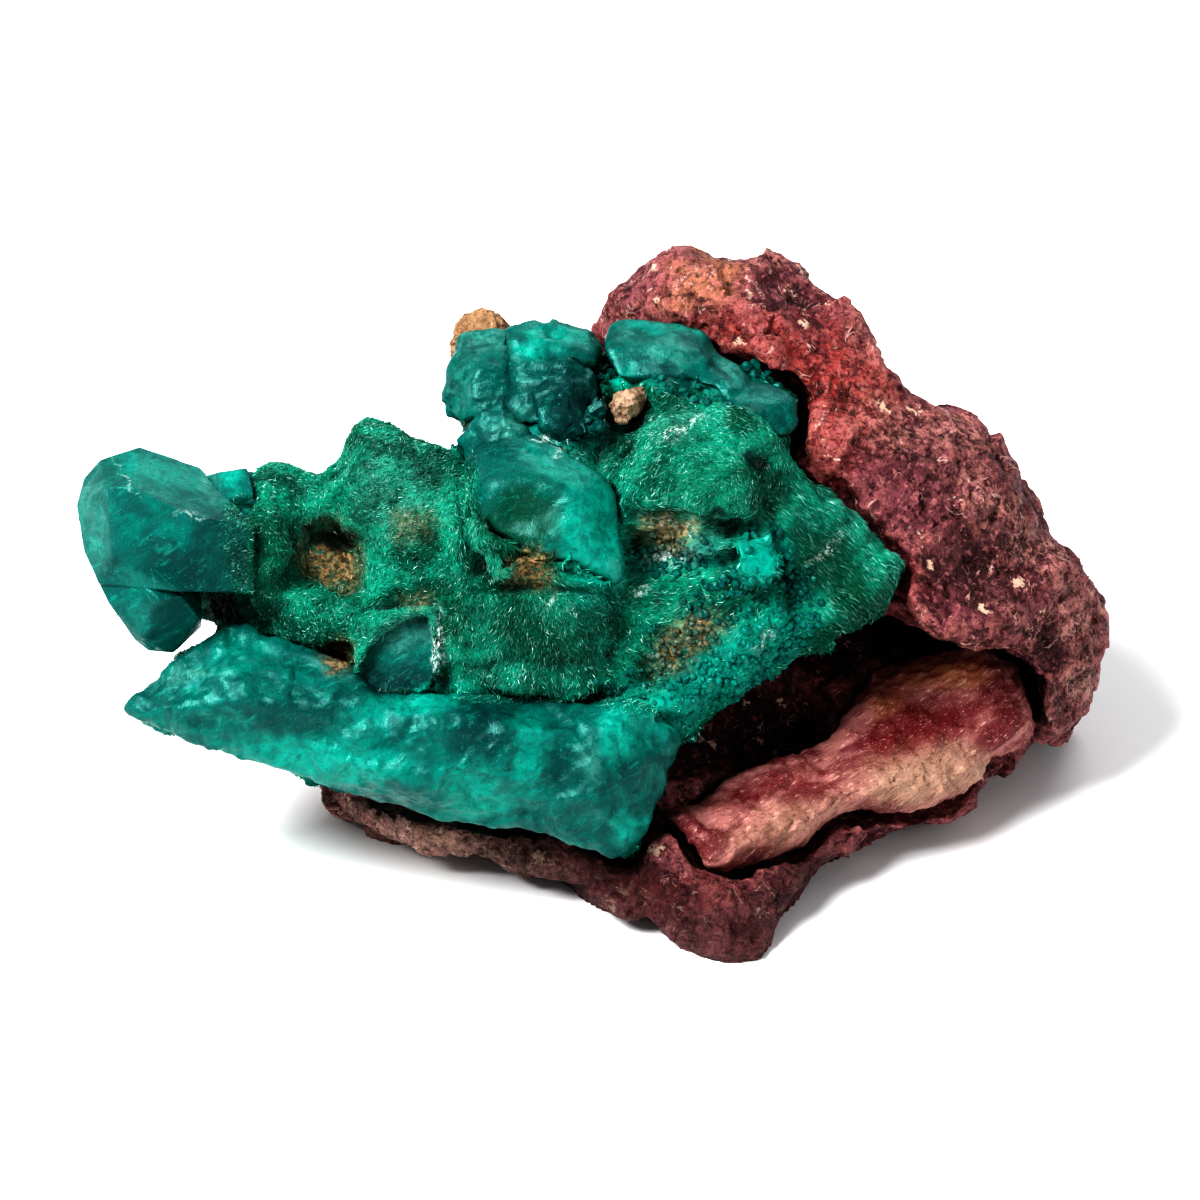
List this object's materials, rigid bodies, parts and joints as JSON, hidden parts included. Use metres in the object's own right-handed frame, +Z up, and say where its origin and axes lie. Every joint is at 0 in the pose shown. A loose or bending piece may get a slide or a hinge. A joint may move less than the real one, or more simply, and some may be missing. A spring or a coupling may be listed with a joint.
{
  "type": "dioptase specimen",
  "caption": "Hand-sized mineral specimen: green dioptase crystals and crust on a maroon iron-stained rock with a pale calcite seam.",
  "frame": {"origin": "centre of the bounding box, at the level of the flat base the rock rests on", "axes": "+Z up, +X to the right across the crystal face, and -Y out towards the side the crystals face"},
  "size_m": [0.0522, 0.035, 0.0276],
  "materials": {
    "rock": "rough, dusty, stained maroon and brick red",
    "dioptase": "glassy crystals with a velvety crust of fine needles between them",
    "calcite": "smooth and waxy, banded cream, pink and red",
    "ochre": "matte, fine grained",
    "chip": "matte, fine grained"
  },
  "bodies": {
    "root": {"matrix_rock": "rock", "dioptase_cluster": "dioptase", "calcite_seam": "calcite", "ochre_lump": "ochre", "ochre_chip": "chip"}
  },
  "joints": []
}
